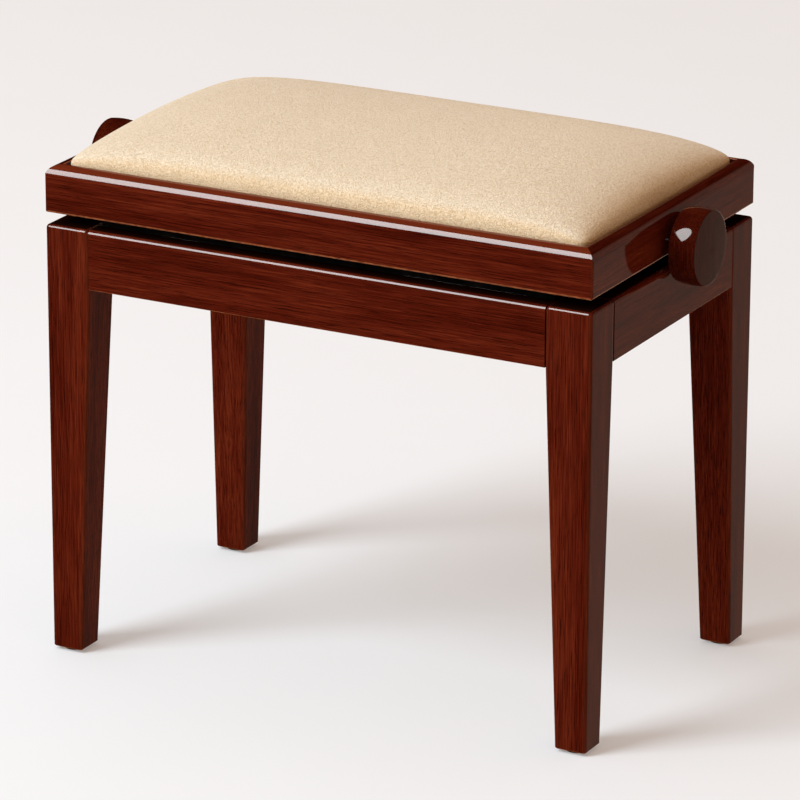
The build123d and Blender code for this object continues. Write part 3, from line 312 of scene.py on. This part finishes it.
def wear_and_painted_light(n, coloured, shift, inward, tops_covered):
    """The wood's colour with worn edges and painted highlights, painted shade on hidden faces, and the weight
    of its gloss.

    The lower and upright edges are lighter. This is partly wear and partly a painted highlight of light caught
    on their rounds.
    Undersides, and tops where tops_covered, are painted dark as painted shade and left matt. Other tops have a
    painted highlight on the inner edge and a painted tone of their own: lighter as painted light on rails that
    run along X, darker as painted shade on rails that run along Y. Faces turned inward, the direction into the
    bench, have a thinner gloss, as painted shade in what they reflect. All follow the surface's own direction.
    """
    direction = n.direction()
    turned_in = n.add("ShaderNodeVectorMath", operation="DOT_PRODUCT")
    turned_in.inputs[1].default_value = inward
    n.join(n.place, "Normal", turned_in, 0)
    below = n.to_range(direction, "Z", 0, 1, -0.15, -0.4)
    above_flat = n.to_range(direction, "Z", 0, 1, -0.97, -0.88)
    corner = n.product(direction, "X", direction, "Y")
    corner_size = n.add("ShaderNodeMath", operation="ABSOLUTE")
    n.join(corner, "Value", corner_size, 0)
    # lower and upright edge rounds: painted highlight, broken up like wear
    upright = n.to_range(corner_size, "Value", 0, 0.07, 0.2, 0.45)
    low_edge = n.product(below, "Result", above_flat, "Result")
    rubbed = n.noise((160, 160, 160), shift, detail=3)
    rub = n.to_range(rubbed, "Fac", 0.35, 0.9, 0.35, 0.65)
    low_worn_lit_mask = n.product(low_edge, "Value", rub, "Result")
    worn_lit_mask = n.larger(low_worn_lit_mask, "Value", upright, "Result")
    if not tops_covered:
        rising = n.to_range(direction, "Z", 0, 1, 0.3, 0.5)
        # inner top edge: a painted highlight line
        arris_highlight = n.product(n.to_range(turned_in, "Value", 0, 0.8, 0.25, 0.5), "Result", rising, "Result")
        worn_lit_mask = n.larger(worn_lit_mask, "Value", arris_highlight, "Value")
        # rail tops: painted light on front and back rails, painted shade on side rails
        roll = n.product(n.to_range(direction, "Z", 0, TOP_TONE_SHARE, 0.45, 0.75), "Result", rising, "Result")
        top_tone = PAINTED_TOP_TONE[X if inward[Y] else Y]
        coloured = n.mix((coloured, "Result"), top_tone, (roll, "Value"))
    # the colour with its worn edges and their painted highlight
    worn = n.mix((coloured, "Result"), WORN_AND_LIT_EDGE, (worn_lit_mask, "Value"))
    # undersides and covered tops: painted shade, and no gloss
    under = n.to_range(direction, "Z", 0, 1, -0.9, -0.99)
    over = n.to_range(direction, "Z", 0, 1 if tops_covered else 0, 0.985, 0.998)
    hidden = n.larger(under, "Result", over, "Result")
    final = n.mix((worn, "Result"), SHADED_HIDDEN_WOOD, (hidden, "Value"))
    shown = n.to_range(hidden, "Value", 1.0, 0.0)
    # inward faces: weaker gloss, as painted shade in their reflection
    outer = n.to_range(turned_in, "Value", 1.0, INNER_SHADED_GLOSS, 0.5, 0.8)
    return final, n.product(shown, "Result", outer, "Result")


def enamelled_steel(name):
    """Steel strip under black stove enamel: nearly even, with a faint orange peel and rubbed patches."""
    n = Nodes(name)
    peel = n.noise((420, 420, 420), detail=2)
    rubbed = n.noise((55, 55, 55), detail=5, roughness=0.65)
    base = n.ramp(rubbed, "Fac", [(0.45, (0.006, 0.006, 0.006)), (0.72, (0.020, 0.019, 0.018))])
    n.join(base, "Color", n.surface, "Base Color")
    rough = n.to_range(rubbed, "Fac", 0.38, 0.6, 0.35, 0.7)
    n.join(rough, "Result", n.surface, "Roughness")
    n.join(n.bump(peel, "Fac", 0.00004), "Normal", n.surface, "Normal")
    n.fix(specular_ior_level=0.2)
    return n.material


def bare_wood(name, axis, light, dark, shift=(0, 0, 0)):
    """Unfinished hardwood or plywood face: pale, dry, with soft grain lines."""
    n = Nodes(name)
    figure = n.noise(along(axis, 4, 90), shift, detail=5, roughness=0.6, distortion=0.6)
    flecks = n.noise(along(axis, 120, 900), shift, detail=2)
    tone = n.ramp(figure, "Fac", [(0.3, dark), (0.7, light)])
    fleck_mask = n.to_range(flecks, "Fac", 0.0, 0.35, 0.55, 0.75)
    coloured = n.mix((tone, "Color"), tuple(c * 0.45 for c in dark), (fleck_mask, "Result"))
    n.join(coloured, "Result", n.surface, "Base Color")
    rough = n.to_range(figure, "Fac", 0.62, 0.8, 0.3, 0.7)
    n.join(rough, "Result", n.surface, "Roughness")
    n.join(n.bump(flecks, "Fac", 0.00006), "Normal", n.surface, "Normal")
    n.fix(specular_ior_level=0.3)
    return n.material


# painted shade on the cloth's right side
RIGHT_SIDE_SHADE = (0.84, 0.70, 0.52)
# painted shade on the cloth's front
FRONT_SHADE = (1.0, 0.90, 0.77)


def velour(name):
    """Beige short-pile cloth: a fine wormy nap, soft lighter and darker strokes, and a low sheen.

    Faces turned to the right are painted deeper and warmer, as painted shade on the side away from the light,
    and faces dropping at the front are painted a little darker, as painted shade.
    """
    n = Nodes(name)
    strokes = n.noise((11, 11, 11), detail=4, roughness=0.6)
    nap = n.noise((720, 720, 720), detail=2, roughness=0.55, distortion=1.2)
    fibres = n.noise((1900, 1900, 1900), detail=2, roughness=0.6)
    base = n.ramp(strokes, "Fac", [(0.3, (0.86, 0.80, 0.65)), (0.7, (0.885, 0.825, 0.675))])
    speckle = n.ramp(nap, "Fac", [(0.36, (0.76, 0.67, 0.54)), (0.54, (1.0, 1.0, 1.0))])
    coloured = n.mix((base, "Color"), (speckle, "Color"), 1.0, "MULTIPLY")
    direction = n.direction()
    # right-facing faces: painted shade, deeper and warmer
    right_shade_mask = n.to_range(direction, "X", 0, 1, 0.2, 0.85)
    right_shaded = n.mix((coloured, "Result"), RIGHT_SIDE_SHADE, (right_shade_mask, "Result"), "MULTIPLY")
    # front-facing faces: painted shade, a little darker
    front_shade_mask = n.to_range(direction, "Y", 0, 1, -0.6, -0.95)
    front_shaded = n.mix((right_shaded, "Result"), FRONT_SHADE, (front_shade_mask, "Result"), "MULTIPLY")
    n.join(front_shaded, "Result", n.surface, "Base Color")
    rough = n.to_range(nap, "Fac", 0.82, 0.98, 0.3, 0.7)
    n.join(rough, "Result", n.surface, "Roughness")
    coarse = n.bump(nap, "Fac", 0.0019, 1.0)
    fine = n.bump(fibres, "Fac", 0.00025, 0.8, normal=coarse)
    n.join(fine, "Normal", n.surface, "Normal")
    n.fix(specular_ior_level=0.1, sheen_weight=0.2, sheen_roughness=0.5, sheen_tint=(1.0, 0.9, 0.75, 1))
    return n.material


def metal(name, colour, tint, roughness, grain=(260, 260, 260), metallic=1.0, scratch=0.00002):
    """Plated or drawn steel and brass: a cloudy tint, fine scratches and uneven gloss."""
    n = Nodes(name)
    clouds = n.noise((45, 45, 45), detail=4, roughness=0.6)
    lines = n.noise(grain, detail=3, roughness=0.6)
    base = n.ramp(clouds, "Fac", [(0.32, tint), (0.68, colour)])
    worn = n.ramp(lines, "Fac", [(0.3, (0.82, 0.82, 0.82)), (0.7, (1.0, 1.0, 1.0))])
    coloured = n.mix((base, "Color"), (worn, "Color"), 1.0, "MULTIPLY")
    n.join(coloured, "Result", n.surface, "Base Color")
    rough = n.to_range(clouds, "Fac", roughness * 0.8, roughness * 1.35, 0.3, 0.7)
    n.join(rough, "Result", n.surface, "Roughness")
    n.join(n.bump(lines, "Fac", scratch), "Normal", n.surface, "Normal")
    n.fix(metallic=metallic)
    return n.material


def bare_foam(name):
    """Pale yellow open-cell foam."""
    n = Nodes(name)
    cells = n.noise((1100, 1100, 1100), detail=2, roughness=0.7)
    base = n.ramp(cells, "Fac", [(0.35, (0.55, 0.47, 0.27)), (0.6, (0.78, 0.70, 0.45))])
    n.join(base, "Color", n.surface, "Base Color")
    rough = n.to_range(cells, "Fac", 0.85, 1.0, 0.3, 0.7)
    n.join(rough, "Result", n.surface, "Roughness")
    n.join(n.bump(cells, "Fac", 0.0005), "Normal", n.surface, "Normal")
    n.fix(specular_ior_level=0.1)
    return n.material


def moulded_nylon(name):
    """Dark moulded nylon with a faint grain."""
    n = Nodes(name)
    grain = n.noise((900, 900, 900), detail=2)
    base = n.ramp(grain, "Fac", [(0.3, (0.010, 0.009, 0.008)), (0.7, (0.022, 0.020, 0.018))])
    n.join(base, "Color", n.surface, "Base Color")
    rough = n.to_range(grain, "Fac", 0.42, 0.58, 0.3, 0.7)
    n.join(rough, "Result", n.surface, "Roughness")
    n.join(n.bump(grain, "Fac", 0.00003), "Normal", n.surface, "Normal")
    return n.material


# ---------------------------------------------------------------- cushion
def cushion_plan(s, t, inset):
    """A point of the cushion's plan from the square's (s, t): the rectangle's point, drawn in at the corners.

    x is the half length times s times one less a share of |t| to a high power, and y is the same with s and
    t exchanged. The powers make both sides meet at 45 degrees in the corner, where they form its round.
    """
    half = np.array([cover_high[X], cover_high[Y]]) - EDGE_GAP - inset
    cut = (CORNER_RADIUS - min(inset, CORNER_RADIUS / 2)) * (1 - math.sqrt(0.5))
    x = half[0] * s * (1 - cut / half[0] * np.abs(t) ** (half[1] / cut))
    y = half[1] * t * (1 - cut / half[1] * np.abs(s) ** (half[0] / cut))
    return x, y


def cushion_crown(s, t):
    """The crown's height at (s, t): a full, flat-topped fall to the ends, times a rounder fall to the sides.

    Each fall is one less |s| or |t| to a power, all to a smaller power. |t| is softened at the ridge: it is the
    root of its square and the softness squared, less the softness, scaled to end at one.
    """
    soft = (t * t + RIDGE_SOFTNESS**2) ** 0.5 - RIDGE_SOFTNESS
    soft = soft / ((1 + RIDGE_SOFTNESS**2) ** 0.5 - RIDGE_SOFTNESS)
    ends = np.clip(1 - np.abs(s) ** END_POWER, 0, 1) ** END_ROUND
    sides = np.clip(1 - soft**SIDE_POWER, 0, 1) ** SIDE_ROUND
    return CROWN * ends * sides


def eased(count):
    """Values from -1 to 1 that crowd towards both ends, as the sine of an even angle does, twice over."""
    even = np.sin(np.linspace(-math.pi / 2, math.pi / 2, count))
    return np.sin(even * math.pi / 2)


def outline(grid):
    """The numbers round the edge of a grid, in order."""
    return np.concatenate([grid[0, :-1], grid[:-1, -1], grid[-1, :0:-1], grid[:0:-1, 0]])


def cushion():
    """The padded seat: a crowned top grid, a wall down into the rebate, and the cloth turned in below.

    The wall is the top's outline repeated at a list of insets and heights.
    """
    t, s = np.meshgrid(eased(CUSHION_ROWS), eased(CUSHION_COLUMNS), indexing="ij")
    x, y = cushion_plan(s, t, 0)
    z = SEAT_TOP - CROWN_SINK + cushion_crown(s, t) * (CROWN + CROWN_SINK) / CROWN
    top = np.stack([x, y, z], axis=-1).reshape(-1, 3)
    numbers = np.arange(CUSHION_ROWS * CUSHION_COLUMNS).reshape(CUSHION_ROWS, CUSHION_COLUMNS)
    rim = outline(numbers)
    rim_s, rim_t = s.ravel()[rim], t.ravel()[rim]
    low, inside = cover_low[Z], BOARD_BOTTOM + 1 * MM
    rings = [
        (0, SEAT_TOP - 4 * MM),
        (0, low + 1.2 * MM),
        (0.5 * MM, low + 0.35 * MM),
        (1.4 * MM, low + 0.05 * MM),
        (3 * MM, low),
        (TURN_UNDER - 1 * MM, low),
        (TURN_UNDER, low + 0.4 * MM),
        (TURN_UNDER, inside),
    ]
    parts, faces, last = [top], [grid_quads(CUSHION_ROWS, CUSHION_COLUMNS)], rim
    count = len(top)
    for inset, height in rings:
        rx, ry = cushion_plan(rim_s, rim_t, inset)
        parts.append(np.stack([rx, ry, np.full(len(rim), height)], axis=-1))
        ring = np.arange(count, count + len(rim))
        faces.append(ring_quads(last, ring)[:, ::-1])
        last, count = ring, count + len(rim)
    inner = np.arange(count, count + numbers.size).reshape(numbers.shape)
    bx, by = cushion_plan(s, t, TURN_UNDER)
    parts.append(np.stack([bx, by, np.full(bx.shape, inside)], axis=-1).reshape(-1, 3))
    bottom = grid_quads(CUSHION_ROWS, CUSHION_COLUMNS, flip=True)
    merged = np.arange(count + numbers.size)
    merged[outline(inner)] = last
    faces.append(merged[bottom + count])
    vertices = np.concatenate(parts)
    quads = np.concatenate(faces)
    used = np.unique(quads)
    renumber = np.zeros(len(vertices), int)
    renumber[used] = np.arange(len(used))
    piece = make_piece("cushion", vertices[used], renumber[quads], materials["velour"])
    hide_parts("seat_cover", "seat_foam")
    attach(piece, "seat")


# ---------------------------------------------------------------- spindle
def threaded_spindle():
    """The spindle with a real helix.

    Its radius falls by a flat-topped triangle wave of x over the pitch less the turn. The wave fades in and out
    over one pitch at each end of the thread, and the ends close on the axis.
    """
    left, right = spindle_low[X], spindle_high[X]
    stop = NUT_END + THREAD_PAST_NUT
    start = stop - THREAD_LENGTH
    chamfer = np.array([0, END_CHAMFER, 1.1 * END_CHAMFER])
    coarse = np.linspace(left + 20 * MM, start - 1 * MM, 12)
    fine = np.linspace(start, stop, int(THREAD_LENGTH / THREAD_PITCH * STEPS_PER_PITCH))
    rest = np.linspace(stop + 1 * MM, right - 20 * MM, 8)
    x = np.concatenate([left + chamfer, coarse, fine, rest, right - chamfer[::-1]])
    angle = np.linspace(0, 2 * math.pi, THREAD_SIDES, endpoint=False)
    phase = (x[:, None] / THREAD_PITCH - angle[None, :] / (2 * math.pi)) % 1.0
    tooth = np.clip(np.abs(phase - 0.5) * FLANK_SLOPE - FLANK_START, 0, 1)
    fade = np.clip(np.minimum(x - start, stop - x) / THREAD_PITCH, 0, 1)[:, None]
    radius = SPINDLE_RADIUS - THREAD_DEPTH * tooth * fade
    radius[[0, -1]] -= END_CHAMFER
    along_x = np.broadcast_to(x[:, None], radius.shape)
    points = np.stack([along_x, radius * np.sin(angle), AXIS_Z + radius * np.cos(angle)], axis=-1)
    points = points.reshape(-1, 3)
    rings = np.arange(len(points)).reshape(radius.shape)
    quads = np.concatenate([ring_quads(after, before) for before, after in zip(rings, rings[1:])])
    piece = make_piece("threaded_spindle", points, quads, materials["bright_steel"])
    close_ends(piece.data, [(left, 0, AXIS_Z), (right, 0, AXIS_Z)], rings[0], rings[-1])
    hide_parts("spindle")
    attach(piece, "spindle")


def close_ends(mesh, centres, first, last):
    """Adds a fan of triangles from a centre point to each end ring."""
    work = bmesh.new()
    work.from_mesh(mesh)
    work.verts.ensure_lookup_table()
    loops = [[work.verts[int(i)] for i in ring] for ring in (first, last)]
    for centre, loop in zip(centres, loops):
        middle = work.verts.new(centre)
        for a, b in zip(loop, loop[1:] + loop[:1]):
            work.faces.new((a, b, middle))
    bmesh.ops.recalc_face_normals(work, faces=work.faces)
    work.to_mesh(mesh)
    work.free()


# ---------------------------------------------------------------- what each CAD node is made of
WOOD_AXES = {
    "leg_": Z,
    "apron_front": X, "apron_back": X, "apron_left": Y, "apron_right": Y,
    "seat_rail_front": X, "seat_rail_back": X, "seat_rail_left": Y, "seat_rail_right": Y,
}

INWARD = {"left": (1, 0, 0), "right": (-1, 0, 0), "front": (0, 1, 0), "back": (0, -1, 0)}

materials = {
    "velour": velour("velour"),
    "foam": bare_foam("foam"),
    "plywood": bare_wood("plywood", X, (0.52, 0.36, 0.20), (0.36, 0.23, 0.12)),
    "beech": bare_wood("beech", Z, (0.55, 0.36, 0.20), (0.42, 0.25, 0.13), (0.3, 0.1, 0.2)),
    "black_steel": enamelled_steel("black_steel"),
    "bright_steel": metal("bright_steel", (0.60, 0.60, 0.59), (0.50, 0.50, 0.50), 0.24, (700, 60, 700)),
    "fastener_steel": metal("fastener_steel", (0.55, 0.52, 0.42), (0.44, 0.43, 0.38), 0.30),
    "brass": metal("brass", (0.72, 0.50, 0.18), (0.58, 0.38, 0.12), 0.26),
    "nylon": moulded_nylon("nylon"),
}


def finish_nodes():
    """Gives each CAD node the material of its slot, and each lacquered piece a grain of its own."""
    slots = {entry["node"]: entry["material_slot"] for entry in frame["record"]["subparts"]}
    for number, (name, node) in enumerate(sorted(frame["nodes"].items())):
        kind = slots[name]
        shift = (0.37 * number, 0.73 * number, 0.51 * number)
        if kind == "mahogany":
            axis = next(a for start, a in WOOD_AXES.items() if name.startswith(start))
            inward = next(d for part, d in INWARD.items() if part in name)
            covered = name.startswith(("leg_", "apron_"))
            material = lacquered_mahogany(f"mahogany_{name}", axis, shift, edges=(inward, covered))
        elif kind == "knob_wood":
            material = lacquered_mahogany(f"turned_{name}", Z, shift, KNOB_DEPTH, KNOB_GLOSS)
        else:
            material = materials["velour" if kind == "cover" else kind]
        node.data.materials.clear()
        node.data.materials.append(material)


# ---------------------------------------------------------------- floor, light and camera
def floor():
    """A wide pale floor, lit and a little self-lit, so that it stays even."""
    n = Nodes("pale_floor")
    grain = n.noise((6, 6, 6), detail=2)
    tone = n.ramp(grain, "Fac", [(0.3, FLOOR_COLOUR), (0.7, tuple(c * 1.01 for c in FLOOR_COLOUR))])
    n.join(tone, "Color", n.surface, "Base Color")
    n.fix(roughness=0.9, specular_ior_level=0.0, emission_color=(*FLOOR_GLOW, 1), emission_strength=1.0)
    angle = np.linspace(0, 2 * math.pi, FLOOR_SIDES, endpoint=False)
    ring = FLOOR_RADIUS * np.stack([np.cos(angle), np.sin(angle), np.zeros(FLOOR_SIDES)], axis=-1)
    mesh = bpy.data.meshes.new("floor")
    mesh.from_pydata([tuple(p) for p in ring], [], [tuple(range(FLOOR_SIDES))])
    mesh.materials.append(n.material)
    piece = bpy.data.objects.new("floor", mesh)
    piece.visible_glossy = False
    bpy.context.scene.collection.objects.link(piece)


def softbox(name, place, width, height, radiance):
    """An elliptical light that faces the bench. Its power is its radiance times its area times pi."""
    light = bpy.data.lights.new(name, "AREA")
    light.shape = "ELLIPSE"
    light.size, light.size_y = width, height
    light.energy = radiance * (math.pi / 4 * width * height) * math.pi
    box = bpy.data.objects.new(name, light)
    box.location = place
    box.rotation_mode = "QUATERNION"
    box.rotation_quaternion = (STUDIO_AIM - place).to_track_quat("-Z", "Y")
    box.visible_camera = False
    bpy.context.scene.collection.objects.link(box)


def outward(azimuth, elevation):
    """A direction out from the bench, from radians: azimuth 0 is the front, a quarter turn the right end."""
    level = math.cos(elevation)
    return Vector((math.sin(azimuth) * level, -math.cos(azimuth) * level, math.sin(elevation)))


def sky():
    """A sky that lights softly, brighter high up and on the left and warmer on the right.

    In polished surfaces the studio is dark, but for a low glow behind the right-hand end.
    """
    world = bpy.data.worlds.new("studio")
    world.use_nodes = True
    tree = world.node_tree
    tree.nodes.clear()
    new, join = tree.nodes.new, tree.links.new

    def ranged(source, *limits):
        node = new("ShaderNodeMapRange")
        for key, value in zip(("From Min", "From Max", "To Min", "To Max"), limits):
            node.inputs[key].default_value = value
        join(source, node.inputs["Value"])
        return node.outputs["Result"]

    def math_node(operation, first, second):
        node = new("ShaderNodeMath")
        node.operation = operation
        join(first, node.inputs[0])
        join(second, node.inputs[1])
        return node.outputs["Value"]

    place = new("ShaderNodeTexCoord")
    split = new("ShaderNodeSeparateXYZ")
    join(place.outputs["Generated"], split.inputs["Vector"])
    sideways = ranged(split.outputs["X"], -1, 1, SKY_LEFT, SKY_RIGHT)
    strength = math_node("MULTIPLY", sideways, ranged(split.outputs["Z"], 0, 1, SKY_LOW, SKY_HIGH))
    tone = new("ShaderNodeMix")
    tone.data_type = "RGBA"
    factor, first, second = [socket for socket in tone.inputs if socket.enabled]
    join(ranged(split.outputs["X"], -1, 1, 0, 1), factor)
    first.default_value, second.default_value = SKY_COOL, SKY_WARM
    soft = new("ShaderNodeBackground")
    join(strength, soft.inputs["Strength"])
    join(next(socket for socket in tone.outputs if socket.enabled), soft.inputs["Color"])

    def towards(direction):
        node = new("ShaderNodeVectorMath")
        node.operation = "DOT_PRODUCT"
        node.inputs[1].default_value = Vector(direction).normalized()
        join(place.outputs["Generated"], node.inputs[0])
        return node.outputs["Value"]

    wide = ranged(towards(GLOW_TOWARDS), *GLOW_SPREAD, 0, GLOSS_GLOW)
    wide = math_node("MULTIPLY", wide, ranged(split.outputs["Z"], *GLOW_TOP, 0, 1))
    narrow = ranged(towards(EDGE_TOWARDS), *EDGE_SPREAD, 0, GLOSS_EDGE)
    gloss = new("ShaderNodeBackground")
    gloss.inputs["Color"].default_value = GLOSS_TONE
    join(math_node("ADD", wide, narrow), gloss.inputs["Strength"])
    path = new("ShaderNodeLightPath")
    choice = new("ShaderNodeMixShader")
    join(path.outputs["Is Glossy Ray"], choice.inputs[0])
    join(soft.outputs["Background"], choice.inputs[1])
    join(gloss.outputs["Background"], choice.inputs[2])
    output = new("ShaderNodeOutputWorld")
    join(choice.outputs["Shader"], output.inputs["Surface"])
    bpy.context.scene.world = world


def lights():
    """A tall key from the front left and the sky."""
    place = STUDIO_AIM + outward(KEY_AZIMUTH, KEY_ELEVATION) * KEY_DISTANCE
    softbox("key", place, KEY_WIDTH, KEY_HEIGHT, KEY_RADIANCE)
    sky()


def camera():
    """The camera looks at the bench's middle from its own azimuth and elevation."""
    back = outward(VIEW_AZIMUTH, VIEW_ELEVATION)
    data = bpy.data.cameras.new("camera")
    data.lens = VIEW_LENS
    data.sensor_width = 36.0
    data.clip_end = 100.0
    eye = bpy.data.objects.new("camera", data)
    eye.rotation_mode = "QUATERNION"
    turn = (-back).to_track_quat("-Z", "Y").to_matrix() @ Matrix.Rotation(VIEW_ROLL, 3, "Z")
    eye.rotation_quaternion = turn.to_quaternion()
    eye.location = Vector((0, 0, VIEW_AIM_HEIGHT)) + back * VIEW_DISTANCE
    bpy.context.scene.collection.objects.link(eye)
    bpy.context.scene.camera = eye


def main():
    finish_nodes()
    cushion()
    threaded_spindle()
    floor()
    lights()
    camera()
    bpy.context.scene.view_settings.view_transform = "Standard"


main()
